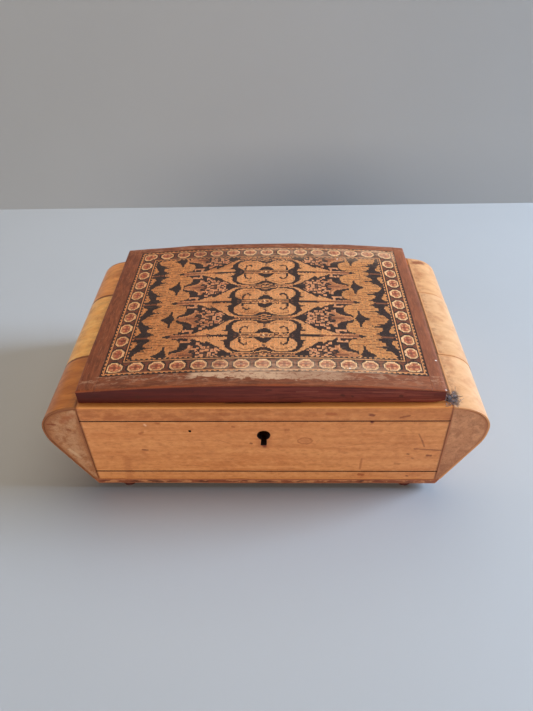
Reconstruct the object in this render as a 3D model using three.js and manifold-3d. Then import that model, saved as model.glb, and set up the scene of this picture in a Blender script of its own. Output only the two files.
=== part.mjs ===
// Wooden puzzle box: a mosaic lid on rear hinges, wedge-shaped ends in three sections,
// a sliding end section over a key pocket, a secret drawer and a box lock.
// Millimetres. +X runs along the box, -Y is its front, +Z is up, and the feet stand on z = 0.
import * as THREE from "three";
import { mergeVertices } from "three/addons/utils/BufferGeometryUtils.js";
import Module from "manifold-3d";

// ---- driving dimensions -------------------------------------------------------------------
const HALF_L = 90; // half the length of the case between its wedge ends
const HALF_D = 67; // half the depth of the case
const FOOT_H = 4;
const FOOT_X = 75;
const FOOT_Y = 61.5;
const BASE_T = 3.8;
const RIM_Z = 62.5; // top edge of the case
const WALL = 8; // thickness of the four walls
const GLUE = 0.05; // gap at a glued or resting face
const SLIDE = 0.2; // gap at each side of a sliding piece

const NOSE = 19.8; // how far a wedge end stands out
const NOSE_DROP = 15; // depth of the nose below the rim
const VENEER_T = 1; // skin over the wedge ends
const MID_HALF = 28.4; // half the width of the middle end section

const LEDGE = 3.1; // strip of rim left in front of the lid
const LID_HALF = 87.6;
const LID_X = -1.5; // the lid sits a little left of the middle of the case
const LID_GAP = 0.1;
const LID_EDGE_T = 8; // lid thickness at its two ends
const LID_RISE = 4.2; // extra height of the domed lid at mid-length
const TOP_T = 1.2; // mosaic and margin veneer

const PITCH = 10.4; // one roundel of the mosaic border
const MOSAIC_X = 0; // centre of the mosaic, measured from the middle of the case
const MOSAIC_Y = 3.1;
const FIELD_X = 6.5 * PITCH;
const FIELD_Y = 4.45 * PITCH;
const BAND = 1.12 * PITCH; // width of the mosaic border

const LINE_H = 0.7; // dark inlaid lines
const LINE_T = 0.6;
const UPPER_LINE_Z = RIM_Z - 9.5;
const LOWER_LINE_Z = RIM_Z - 48;

const KEYHOLE_R = 3.1;
const KEYHOLE_Z = RIM_Z - 19.8;
const KEYHOLE_DROP = 7.2; // foot of the slot below the round
const KEYHOLE_SLOT = 1.3; // half its width
const NAIL_HOLE = [-36.5, RIM_Z - 16.5, 0.7]; // x, z and radius of an old nail hole

const LOCK_HALF = 18;
const LOCK_Z = 34; // foot of the lock
const LOCK_FRONT = -HALF_D + 3.3;
const LOCK_BACK = -HALF_D + WALL + 1;
const PLATE = 0.8; // brass sheet of the lock
const EYE_X = 6; // near side of the staple
const STAPLE_T = 2;
const STAPLE_Y = -60.8; // middle of the staple and bolt

const HINGE_X = 55;
const HINGE_HALF = 13; // half the length of a hinge
const LEAF_T = 1;
const LEAF_D = 5.5;
const BARREL_R = 1.7;
const PIN_R = 0.8;
const PIN_FIT = 0.05;
const HINGE_Y = HALF_D + BARREL_R + 0.2;
const MIDDLE_KNUCKLE = 4.2; // half the length of the upper leaf's knuckle
const KNUCKLE_GAP = 0.3;

const FLOOR_Z = 22.2; // underside of the false floor
const FLOOR_T = 2.5;
const LINING_T = 0.4;
const DRAWER_HALF = 25.6;
const DRAWER_WALL = 2.4;
const DRAWER_END = -30; // x of the drawer's back
const DRAWER_TOP = 21;
const DRAWER_FLOOR = 1.8;

const POCKET_DEPTH = 5.5;
const TONGUE_H = 10;
const BLOCK_TRAVEL = 29;

const BASE_TOP = FOOT_H + BASE_T;
const SHELL_Z = BASE_TOP + GLUE; // foot of the walls
const DIAGONAL = 17 / 33; // outward run of the wedge ends for each unit of height

// ---- solids ---------------------------------------------------------------------------------
const wasm = await Module();
wasm.setup();

function toSolid(geometry) {
  const bare = geometry.clone();
  bare.deleteAttribute("normal");
  bare.deleteAttribute("uv");
  const merged = mergeVertices(bare, 1e-4);
  const mesh = new wasm.Mesh({
    numProp: 3,
    vertProperties: new Float32Array(merged.attributes.position.array),
    triVerts: new Uint32Array(merged.index.array),
  });
  return new wasm.Manifold(mesh);
}

function toGeometry(solid) {
  const mesh = solid.getMesh();
  const geometry = new THREE.BufferGeometry();
  geometry.setAttribute("position", new THREE.BufferAttribute(mesh.vertProperties, 3));
  geometry.setIndex(new THREE.BufferAttribute(mesh.triVerts, 1));
  return geometry;
}

function cut(geometry, ...tools) {
  const solid = tools.reduce((body, tool) => body.subtract(toSolid(tool)), toSolid(geometry));
  return toGeometry(solid);
}

function join(...pieces) {
  const solid = pieces.slice(1).reduce((body, piece) => body.add(toSolid(piece)), toSolid(pieces[0]));
  return toGeometry(solid);
}

function box(x0, x1, y0, y1, z0, z1) {
  const geometry = new THREE.BoxGeometry(x1 - x0, y1 - y0, z1 - z0);
  return geometry.translate((x0 + x1) / 2, (y0 + y1) / 2, (z0 + z1) / 2);
}

// A closed outline in x and z, drawn out along y.
function prism(outline, y0, y1) {
  const shape = new THREE.Shape(outline);
  const geometry = new THREE.ExtrudeGeometry(shape, { depth: y1 - y0, bevelEnabled: false });
  return geometry.rotateX(Math.PI / 2).translate(0, y1, 0);
}

function rodY(radius, x, z, y0, y1, sides = 24) {
  const geometry = new THREE.CylinderGeometry(radius, radius, y1 - y0, sides);
  return geometry.translate(x, (y0 + y1) / 2, z);
}

function rodX(radius, y, z, x0, x1, sides = 20) {
  const geometry = new THREE.CylinderGeometry(radius, radius, x1 - x0, sides).rotateZ(Math.PI / 2);
  return geometry.translate((x0 + x1) / 2, y, z);
}

const puzzleBox = new THREE.Group();

function part(name, geometry, material) {
  const mesh = new THREE.Mesh(geometry, material);
  mesh.name = name;
  puzzleBox.add(mesh);
}

function finish(color, roughness, metalness = 0) {
  return new THREE.MeshStandardMaterial({ color, roughness, metalness });
}

const panelWood = finish(0xa8652e, 0.45);
const endWood = finish(0xa06a3c, 0.5);
const endVeneer = finish(0xb07a44, 0.4);
const caseWood = finish(0x7a4a28, 0.6);
const lidWood = finish(0x5a241c, 0.4);
const marginWood = finish(0x6a3a22, 0.4);
const baseWood = finish(0x7c3322, 0.5);
const darkWood = finish(0x1c120c, 0.5);
const mosaicWood = finish(0x8a5a34, 0.35);
const drawerWood = finish(0xb98a58, 0.6);
const paper = finish(0x6f7f86, 0.9);
const brass = finish(0xb08d4a, 0.35, 0.9);
const steel = finish(0x6c6a66, 0.4, 0.9);

// ---- case -----------------------------------------------------------------------------------
const keyhole = (y0, y1, grow = 0) => [
  rodY(KEYHOLE_R + grow, 0, KEYHOLE_Z, y0, y1),
  box(-KEYHOLE_SLOT - grow, KEYHOLE_SLOT + grow, y0, y1, KEYHOLE_Z - KEYHOLE_DROP - grow, KEYHOLE_Z),
];

const lineBox = (z, grow) => box(
  -HALF_L - grow, HALF_L + grow, -HALF_D - grow, -HALF_D + LINE_T + grow,
  z - LINE_H / 2 - grow, z + LINE_H / 2 + grow,
);

function frontPanel() {
  const [nailX, nailZ, nailR] = NAIL_HOLE;
  const blank = box(-HALF_L, HALF_L, -HALF_D, -HALF_D + WALL, SHELL_Z, RIM_Z);
  const mortise = box(
    -LOCK_HALF - GLUE, LOCK_HALF + GLUE, LOCK_FRONT - GLUE, 0, LOCK_Z - GLUE, RIM_Z + 1,
  );
  return cut(
    blank, mortise, lineBox(UPPER_LINE_Z, GLUE), lineBox(LOWER_LINE_Z, GLUE),
    rodY(nailR, nailX, nailZ, -HALF_D - 1, -HALF_D + 4, 10),
    ...keyhole(-HALF_D - 1, LOCK_FRONT + 1),
  );
}

// One countersunk wood screw with its head at the origin and its point towards -z.
const SCREW = { head: 1.5, shank: 0.7, cone: 0.9, length: 5.5 };
function screw(x, y, z, up = 1, grow = 0) {
  const profile = [
    [0, grow], [SCREW.head + grow, grow], [SCREW.head + grow, 0], [SCREW.shank + grow, -SCREW.cone],
    [SCREW.shank + grow, -SCREW.length + 1], [0, -SCREW.length - grow],
  ].filter((point, i) => grow > 0 || i !== 1);
  const points = profile.reverse().map(([r, h]) => new THREE.Vector2(r, h));
  const geometry = new THREE.LatheGeometry(points, 12).rotateX(Math.PI / 2);
  return (up > 0 ? geometry : geometry.rotateX(Math.PI)).translate(x, y, z);
}

const screwSpots = [];
for (const side of [-1, 1]) {
  for (const end of [-1, 1]) {
    screwSpots.push([side * HINGE_X + end * (HINGE_HALF - 4.5), HALF_D - LEAF_D / 2]);
  }
}
const leafRecess = (side, z0, z1) => box(
  side * HINGE_X - HINGE_HALF - GLUE, side * HINGE_X + HINGE_HALF + GLUE,
  HALF_D - LEAF_D - GLUE, HALF_D + 1, z0, z1,
);

function backPanel() {
  const blank = box(-HALF_L, HALF_L, HALF_D - WALL, HALF_D, SHELL_Z, RIM_Z);
  const recesses = [-1, 1].map((side) => leafRecess(side, RIM_Z - LEAF_T - GLUE, RIM_Z + 1));
  const holes = screwSpots.map(([x, y]) => screw(x, y, RIM_Z, 1, 0.1));
  return cut(blank, ...recesses, ...holes);
}

const INNER_D = HALF_D - WALL - GLUE;
const INNER_L = HALF_L - WALL - GLUE;

function leftWall() {
  const blank = box(-HALF_L, -HALF_L + WALL, -INNER_D, INNER_D, SHELL_Z, RIM_Z);
  return cut(blank, box(-HALF_L - 1, -HALF_L + POCKET_DEPTH, -23, 23, 10, 34));
}

function rightWall() {
  const blank = box(HALF_L - WALL, HALF_L, -INNER_D, INNER_D, SHELL_Z, RIM_Z);
  return cut(blank, box(HALF_L - WALL - 1, HALF_L + 1, -26, 26, 0, FLOOR_Z - 0.3));
}

function baseBoard() {
  const foot = HALF_L + (FOOT_H - (RIM_Z - 58)) * DIAGONAL + 1;
  const top = foot + BASE_T * DIAGONAL;
  const outline = [[-foot, FOOT_H], [foot, FOOT_H], [top, BASE_TOP], [-top, BASE_TOP]];
  return prism(outline.map(([x, z]) => new THREE.Vector2(x, z)), -HALF_D, HALF_D);
}

part("front_panel", frontPanel(), panelWood);
part("back_panel", backPanel(), panelWood);
part("left_end_wall", leftWall(), caseWood);
part("right_end_wall", rightWall(), caseWood);
part("base_board", baseBoard(), baseWood);
part("front_upper_line", lineBox(UPPER_LINE_Z, 0), darkWood);
part("front_lower_line", lineBox(LOWER_LINE_Z, 0), darkWood);
part("false_floor", box(-INNER_L, INNER_L, -INNER_D, INNER_D, FLOOR_Z, FLOOR_Z + FLOOR_T), caseWood);
const LINING_Z = FLOOR_Z + FLOOR_T + GLUE;
part(
  "floor_lining",
  box(-INNER_L + 0.3, INNER_L - 0.3, -INNER_D + 1.3, INNER_D - 0.3, LINING_Z, LINING_Z + LINING_T),
  paper,
);
for (const [name, side] of [["front", -1], ["rear", 1]]) {
  const y0 = side * (DRAWER_HALF + 0.6);
  const y1 = side * (DRAWER_HALF + 5);
  const rail = box(-62, INNER_L, Math.min(y0, y1), Math.max(y0, y1), SHELL_Z, FLOOR_Z - GLUE);
  part(`drawer_guide_${name}`, rail, caseWood);
}

// ---- wedge ends -----------------------------------------------------------------------------
// The outline of the right-hand end, from the rim, round the nose and down to the base.
function endCurve() {
  const nose = HALF_L + NOSE;
  const lowX = HALF_L + 17;
  const lowZ = RIM_Z - 27;
  const path = new THREE.Path();
  path.moveTo(HALF_L + GLUE, RIM_Z);
  path.lineTo(HALF_L + 6, RIM_Z - 1);
  path.bezierCurveTo(HALF_L + 13.5, RIM_Z - 2.35, nose, RIM_Z - NOSE_DROP + 7, nose, RIM_Z - NOSE_DROP);
  path.bezierCurveTo(nose, RIM_Z - NOSE_DROP - 4.5, lowX + 4 * DIAGONAL, lowZ + 4, lowX, lowZ);
  path.lineTo(lowX - (lowZ - SHELL_Z) * DIAGONAL, SHELL_Z);
  return path.getPoints(9);
}

// The same curve moved inwards; its two ends slide along the wall and along the base.
function insetCurve(points, depth) {
  return points.map((point, i) => {
    const before = points[Math.max(i - 1, 0)];
    const after = points[Math.min(i + 1, points.length - 1)];
    const along = after.clone().sub(before).normalize();
    if (i === 0) return new THREE.Vector2(point.x, point.y - depth / along.x);
    if (i === points.length - 1) return new THREE.Vector2(point.x + depth / along.y, point.y);
    return new THREE.Vector2(point.x + along.y * depth, point.y - along.x * depth);
  });
}

const OUTER = endCurve();
const SKIN_BACK = insetCurve(OUTER, VENEER_T);
const CORE = insetCurve(OUTER, VENEER_T + GLUE);
const mirrored = (points, side) => points.map((point) => new THREE.Vector2(side * point.x, point.y));

function endCore(side, y0, y1) {
  const corner = new THREE.Vector2(HALF_L + GLUE, SHELL_Z);
  return prism(mirrored([corner, ...CORE], side), y0, y1);
}

function endSkin(side, y0, y1) {
  return prism(mirrored([...OUTER, ...[...SKIN_BACK].reverse()], side), y0, y1);
}

const TONGUE = { x0: HALF_L + 1.6, x1: HALF_L + 4.6, z0: 20, reach: 2 };
const GROOVE_Z1 = TONGUE.z0 + TONGUE_H + BLOCK_TRAVEL + 0.6;

// A slot in a fixed section's side face, for the tongue of the sliding section.
function groove(end) {
  const near = end * (MID_HALF - 1);
  const far = end * (MID_HALF + SLIDE + TONGUE.reach + 0.1);
  return box(
    -TONGUE.x1 - SLIDE, -TONGUE.x0 + SLIDE, Math.min(near, far), Math.max(near, far),
    TONGUE.z0 - SLIDE, GROOVE_Z1,
  );
}

function slidingCore() {
  const reach = MID_HALF + TONGUE.reach;
  const tongues = box(-TONGUE.x1, -TONGUE.x0, -reach, reach, TONGUE.z0, TONGUE.z0 + TONGUE_H);
  return join(endCore(-1, -MID_HALF, MID_HALF), tongues);
}

const FIXED = MID_HALF + SLIDE;
for (const [hand, side] of [["left", -1], ["right", 1]]) {
  for (const [place, end] of [["front", -1], ["rear", 1]]) {
    const y0 = end < 0 ? -HALF_D : FIXED;
    const y1 = end < 0 ? -FIXED : HALF_D;
    const core = endCore(side, y0, y1);
    part(`${hand}_${place}_block`, side < 0 ? cut(core, groove(end)) : core, endWood);
    part(`${hand}_${place}_veneer`, endSkin(side, y0, y1), endVeneer);
  }
}
part("left_middle_block", slidingCore(), endWood);
part("left_middle_veneer", endSkin(-1, -MID_HALF, MID_HALF), endVeneer);

// ---- secret drawer --------------------------------------------------------------------------
const LIFT = SHELL_Z + SLIDE; // sliding pieces clear the base board
part("right_middle_block", endCore(1, -MID_HALF, MID_HALF).translate(SLIDE, 0, 0), endWood);
part("right_middle_veneer", endSkin(1, -MID_HALF, MID_HALF).translate(SLIDE, 0, 0), endVeneer);
for (const [name, side] of [["front", -1], ["rear", 1]]) {
  const y0 = Math.min(side * DRAWER_HALF, side * (DRAWER_HALF - DRAWER_WALL));
  const panel = box(DRAWER_END, HALF_L + SLIDE, y0, y0 + DRAWER_WALL, LIFT, DRAWER_TOP);
  part(`drawer_side_${name}`, panel, drawerWood);
}
const TRAY = DRAWER_HALF - DRAWER_WALL - GLUE;
part("drawer_back", box(DRAWER_END, DRAWER_END + DRAWER_WALL, -TRAY, TRAY, LIFT, DRAWER_TOP), drawerWood);
part(
  "drawer_bottom",
  box(DRAWER_END + DRAWER_WALL + GLUE, HALF_L + SLIDE, -TRAY, TRAY, LIFT + 0.6, LIFT + 0.6 + DRAWER_FLOOR),
  drawerWood,
);

// ---- lid ------------------------------------------------------------------------------------
const LID_Z = RIM_Z + LID_GAP;
const LID_FRONT = -HALF_D + LEDGE;
const LID_X0 = LID_X - LID_HALF;
const LID_X1 = LID_X + LID_HALF;
const domeZ = (x) => RIM_Z + LID_EDGE_T + LID_RISE * (1 - ((x - LID_X) / LID_HALF) ** 2);

function domeLine(x0, x1, depth) {
  const steps = Math.max(2, Math.ceil((x1 - x0) / 8));
  return Array.from({ length: steps + 1 }, (unused, i) => {
    const x = x0 + ((x1 - x0) * i) / steps;
    return new THREE.Vector2(x, domeZ(x) - depth);
  });
}

function topLayer(x0, x1, y0, y1) {
  const under = domeLine(x0, x1, TOP_T);
  return prism([...under, ...domeLine(x0, x1, 0).reverse()], y0, y1);
}

const LINK = { half: 16, y0: LID_FRONT + 0.6, y1: LOCK_BACK - 0.3, t: 1 };

function lidBoard() {
  const floor = [new THREE.Vector2(LID_X1, LID_Z), new THREE.Vector2(LID_X0, LID_Z)];
  const blank = prism([...domeLine(LID_X0, LID_X1, TOP_T + GLUE), ...floor], LID_FRONT, HALF_D);
  const recesses = [-1, 1].map((side) => leafRecess(side, LID_Z - 1, LID_Z + LEAF_T + GLUE));
  const holes = screwSpots.map(([x, y]) => screw(x, y, LID_Z, -1, 0.1));
  const linkRecess = box(
    -LINK.half - GLUE, LINK.half + GLUE, LINK.y0 - GLUE, LINK.y1 + GLUE, LID_Z - 1, LID_Z + LINK.t + GLUE,
  );
  return cut(blank, linkRecess, ...recesses, ...holes);
}

part("lid_board", lidBoard(), lidWood);
const fieldX0 = MOSAIC_X - FIELD_X;
const fieldX1 = MOSAIC_X + FIELD_X;
const fieldY0 = MOSAIC_Y - FIELD_Y;
const fieldY1 = MOSAIC_Y + FIELD_Y;
const bandX0 = fieldX0 - BAND;
const bandX1 = fieldX1 + BAND;
const bandY0 = fieldY0 - BAND;
const bandY1 = fieldY1 + BAND;
part("mosaic_field", topLayer(fieldX0, fieldX1, fieldY0, fieldY1), mosaicWood);
part("mosaic_border_front", topLayer(bandX0, bandX1, bandY0, fieldY0 - GLUE), mosaicWood);
part("mosaic_border_rear", topLayer(bandX0, bandX1, fieldY1 + GLUE, bandY1), mosaicWood);
part("mosaic_border_left", topLayer(bandX0, fieldX0 - GLUE, fieldY0, fieldY1), mosaicWood);
part("mosaic_border_right", topLayer(fieldX1 + GLUE, bandX1, fieldY0, fieldY1), mosaicWood);
part("margin_front", topLayer(bandX0, bandX1, LID_FRONT, bandY0 - GLUE), marginWood);
part("margin_rear", topLayer(bandX0, bandX1, bandY1 + GLUE, HALF_D), marginWood);
part("margin_left", topLayer(LID_X0, bandX0 - GLUE, LID_FRONT, HALF_D), marginWood);
part("margin_right", topLayer(bandX1 + GLUE, LID_X1, LID_FRONT, HALF_D), marginWood);

// ---- hinges ---------------------------------------------------------------------------------
// A leaf with the knuckles given as ranges along x, measured from the middle of the hinge.
function hingeLeaf(side, z0, z1, knuckles) {
  const x = side * HINGE_X;
  const plate = box(x - HINGE_HALF, x + HINGE_HALF, HALF_D - LEAF_D, HALF_D, z0, z1);
  const rolls = knuckles.flatMap(([a, b]) => [
    box(x + a, x + b, HALF_D - 1, HINGE_Y, z0, z1),
    rodX(BARREL_R, HINGE_Y, RIM_Z, x + a, x + b),
  ]);
  const bore = rodX(PIN_R + PIN_FIT, HINGE_Y, RIM_Z, x - HINGE_HALF - 1, x + HINGE_HALF + 1, 16);
  return cut(join(plate, ...rolls), bore);
}

const LOWER_KNUCKLES = [
  [-HINGE_HALF, -MIDDLE_KNUCKLE - KNUCKLE_GAP],
  [MIDDLE_KNUCKLE + KNUCKLE_GAP, HINGE_HALF],
];
for (const [hand, side] of [["left", -1], ["right", 1]]) {
  const spots = screwSpots.filter(([x]) => x * side > 0);
  const lower = hingeLeaf(side, RIM_Z - LEAF_T, RIM_Z, LOWER_KNUCKLES);
  const upper = hingeLeaf(side, LID_Z, LID_Z + LEAF_T, [[-MIDDLE_KNUCKLE, MIDDLE_KNUCKLE]]);
  part(`${hand}_hinge_lower_leaf`, cut(lower, ...spots.map(([x, y]) => screw(x, y, RIM_Z, 1, 0.1))), brass);
  part(`${hand}_hinge_upper_leaf`, cut(upper, ...spots.map(([x, y]) => screw(x, y, LID_Z, -1, 0.1))), brass);
  const x = side * HINGE_X;
  part(`${hand}_hinge_pin`, rodX(PIN_R, HINGE_Y, RIM_Z, x - HINGE_HALF, x + HINGE_HALF, 16), steel);
  for (const [i, [sx, sy]] of spots.entries()) {
    part(`${hand}_lower_screw_${i + 1}`, screw(sx, sy, RIM_Z - 0.05), brass);
    part(`${hand}_upper_screw_${i + 1}`, screw(sx, sy, LID_Z + 0.05, -1), brass);
  }
}

// ---- lock -----------------------------------------------------------------------------------
const BOLT_Z = [56.7, 59.1];
const EYE = { half: 0.9, z0: 56.3, z1: 59.6 };

function lockCase() {
  const inside = LOCK_HALF - PLATE;
  const blank = box(-LOCK_HALF, LOCK_HALF, LOCK_FRONT, LOCK_BACK - PLATE, LOCK_Z, RIM_Z);
  const hollow = box(-inside, inside, LOCK_FRONT + PLATE, 0, LOCK_Z + PLATE, RIM_Z - 1);
  const slot = box(EYE_X - 0.6, EYE_X + STAPLE_T + 0.6, -62.9, -58.75, RIM_Z - 2, RIM_Z + 1);
  return cut(blank, hollow, slot, ...keyhole(LOCK_FRONT - 1, LOCK_FRONT + PLATE + 0.5));
}

function lockCap() {
  const back = LOCK_BACK - PLATE + GLUE;
  const plate = box(-LOCK_HALF, LOCK_HALF, back, LOCK_BACK, LOCK_Z, RIM_Z - 1);
  return join(plate, rodY(1, 0, KEYHOLE_Z, LOCK_FRONT + PLATE + 0.2, back + 0.3, 12));
}

function lockBolt() {
  const bar = box(-14, EYE_X - 1, STAPLE_Y - 0.5, STAPLE_Y + 0.5, ...BOLT_Z);
  const tail = box(-9, 1, STAPLE_Y - 0.5, STAPLE_Y + 0.5, 47.5, BOLT_Z[0] + 0.5);
  return cut(join(bar, tail), box(-5.5, -2.5, -64, -56, 46, 50));
}

// The staple hangs from the plate; the bolt passes through its eye.
function linkPlate() {
  const plate = box(-LINK.half, LINK.half, LINK.y0, LINK.y1, LID_Z, LID_Z + LINK.t);
  const x1 = EYE_X + STAPLE_T;
  const staple = box(EYE_X, x1, STAPLE_Y - 1.7, STAPLE_Y + 1.7, EYE.z0 - 1.6, LID_Z + 0.5);
  const eye = box(EYE_X - 1, x1 + 1, STAPLE_Y - EYE.half, STAPLE_Y + EYE.half, EYE.z0, EYE.z1);
  return cut(join(plate, staple), eye);
}

part("lock_case", lockCase(), brass);
part("lock_cap", lockCap(), brass);
part("lock_bolt", lockBolt(), steel);
part("link_plate", linkPlate(), brass);

// ---- key in its pocket ----------------------------------------------------------------------
function lockKey() {
  const x = -HALF_L + POCKET_DEPTH / 2 + 0.1;
  const z = 20;
  const bowY = -14;
  const bow = new THREE.Shape().absarc(0, 0, 7, 0, 2 * Math.PI);
  bow.holes.push(new THREE.Path().absarc(0, 0, 4.2, 0, 2 * Math.PI, true));
  const ring = new THREE.ExtrudeGeometry(bow, { depth: 2.2, bevelEnabled: false, curveSegments: 14 });
  ring.rotateY(Math.PI / 2).translate(x - 1.1, bowY, z);
  const stem = rodY(1.5, x, z, bowY + 6, 19, 14);
  const bit = box(x - 0.8, x + 0.8, 13, 18, z - 6, z);
  const bore = rodY(1.05, x, z, 8, 20, 12);
  return cut(join(ring, stem, bit), bore);
}
part("key", lockKey(), steel);

// ---- feet -----------------------------------------------------------------------------------
function foot() {
  const points = [[0, 0], [3.4, 0], [4.2, 0.9], [4.4, 2], [4, 3.2], [3.6, FOOT_H - GLUE], [0, FOOT_H - GLUE]];
  const profile = points.map(([r, h]) => new THREE.Vector2(r, h));
  return new THREE.LatheGeometry(profile, 20).rotateX(Math.PI / 2);
}
for (const [place, fy] of [["front", -FOOT_Y], ["rear", FOOT_Y]]) {
  for (const [hand, fx] of [["left", -FOOT_X], ["right", FOOT_X]]) {
    part(`foot_${place}_${hand}`, foot().translate(fx, fy, 0), baseWood);
  }
}

// The hinge barrels stand out at the back, so the whole is centred on its overall depth.
puzzleBox.position.y = -(HINGE_Y + BARREL_R - HALF_D) / 2;

export default puzzleBox;
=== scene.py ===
"""Wooden puzzle box with a mosaic lid: the looks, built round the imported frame."""
import math

import bmesh
import bpy
import numpy as np
from mathutils import Matrix, Vector


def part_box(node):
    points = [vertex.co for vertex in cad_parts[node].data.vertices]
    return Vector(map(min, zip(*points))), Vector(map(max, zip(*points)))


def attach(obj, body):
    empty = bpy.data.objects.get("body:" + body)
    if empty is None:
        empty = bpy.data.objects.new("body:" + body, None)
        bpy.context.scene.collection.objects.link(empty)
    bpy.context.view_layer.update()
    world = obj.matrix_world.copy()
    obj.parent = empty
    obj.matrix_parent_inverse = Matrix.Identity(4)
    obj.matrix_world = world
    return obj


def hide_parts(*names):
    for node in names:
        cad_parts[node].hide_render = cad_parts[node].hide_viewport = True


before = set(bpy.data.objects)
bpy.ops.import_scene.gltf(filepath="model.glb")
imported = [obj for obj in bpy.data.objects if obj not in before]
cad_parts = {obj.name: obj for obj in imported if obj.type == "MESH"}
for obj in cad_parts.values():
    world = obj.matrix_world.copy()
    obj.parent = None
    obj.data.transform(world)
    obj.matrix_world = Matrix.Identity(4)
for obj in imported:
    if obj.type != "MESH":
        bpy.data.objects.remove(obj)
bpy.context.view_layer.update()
MM = 0.001


def corners(node):
    """The lowest and highest corner of a CAD node, in millimetres."""
    low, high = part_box(node)
    return np.array(low) / MM, np.array(high) / MM


def put(name, data):
    """A new object in the scene."""
    made = bpy.data.objects.new(name, data)
    bpy.context.scene.collection.objects.link(made)
    return made


# ---- camera ----
LOOK_DOWN = math.radians(40.56)
LOOK_LEFT = math.radians(-2.28)
TILT = math.radians(-1.77)
EYE = Vector((10.2, -259.0, 257.9)) * MM


def add_camera():
    data = bpy.data.cameras.new("camera")
    data.lens = 29.05
    data.sensor_width = 36
    data.clip_start = 0.01
    flat = math.cos(LOOK_DOWN)
    ahead = Vector((math.sin(LOOK_LEFT) * flat, math.cos(LOOK_LEFT) * flat, -math.sin(LOOK_DOWN)))
    level = Vector((math.cos(LOOK_LEFT), -math.sin(LOOK_LEFT), 0))
    upright = level.cross(ahead)
    right = math.cos(TILT) * level + math.sin(TILT) * upright
    up = math.cos(TILT) * upright - math.sin(TILT) * level
    camera = put("camera", data)
    camera.matrix_world = Matrix.Translation(EYE) @ Matrix((right, up, -ahead)).transposed().to_4x4()
    bpy.context.scene.camera = camera


add_camera()


# ---- node materials ----
def srgb(r, g, b):
    """An 8-bit display colour as the linear colour that the shaders use."""
    return tuple((c / 255 / 12.92) if c < 11 else ((c / 255 + 0.055) / 1.055) ** 2.4 for c in (r, g, b))


def in_space(plane, point):
    """A 2-D point of the plane as a vector, with 0 along the axis across it."""
    return Vector([point[plane.index(name)] if name in plane else 0.0 for name in "XYZ"])


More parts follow.
